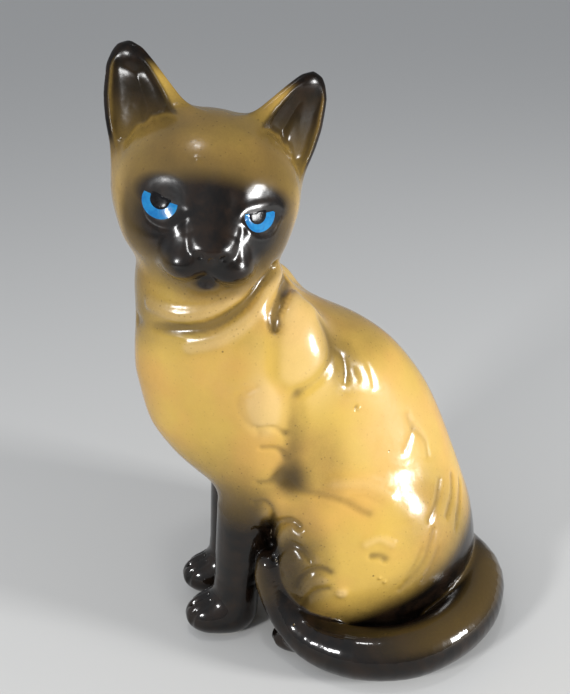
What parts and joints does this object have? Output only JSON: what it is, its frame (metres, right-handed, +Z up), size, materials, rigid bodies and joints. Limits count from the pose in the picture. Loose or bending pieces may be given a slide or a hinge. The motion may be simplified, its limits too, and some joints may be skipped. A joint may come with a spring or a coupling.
{
  "type": "ceramic cat figurine",
  "caption": "Glazed ceramic figurine of a seated cat, head turned over its left shoulder, tail wrapped round the haunch; hollow slip-cast body that stands on a flat base.",
  "frame": {"origin": "middle of the object's footprint, on the surface it stands on", "axes": "+Z up; the body faces -Y, the cat's left side and its face are towards +X, the tail's root is at +Y"},
  "size_m": [0.1088, 0.139, 0.22],
  "materials": {
    "honey_glaze": "clear gloss glaze over honey-yellow airbrushed underglaze, shaded olive brown in the hollows",
    "fawn_glaze": "clear gloss glaze over fawn, airbrushed seal brown to the rim and tip",
    "seal_glaze": "clear gloss glaze over near-black seal brown",
    "blue_enamel": "brush-painted gloss enamel",
    "black_enamel": "brush-painted gloss enamel"
  },
  "bodies": {
    "root": {"torso": "honey_glaze", "head": "honey_glaze", "left_ear": "fawn_glaze", "right_ear": "fawn_glaze", "left_foreleg": "seal_glaze", "right_foreleg": "seal_glaze", "left_hind_paw": "seal_glaze", "right_hind_paw": "seal_glaze", "tail": "seal_glaze", "left_iris": "blue_enamel", "right_iris": "blue_enamel", "left_pupil": "black_enamel", "right_pupil": "black_enamel"}
  },
  "joints": []
}
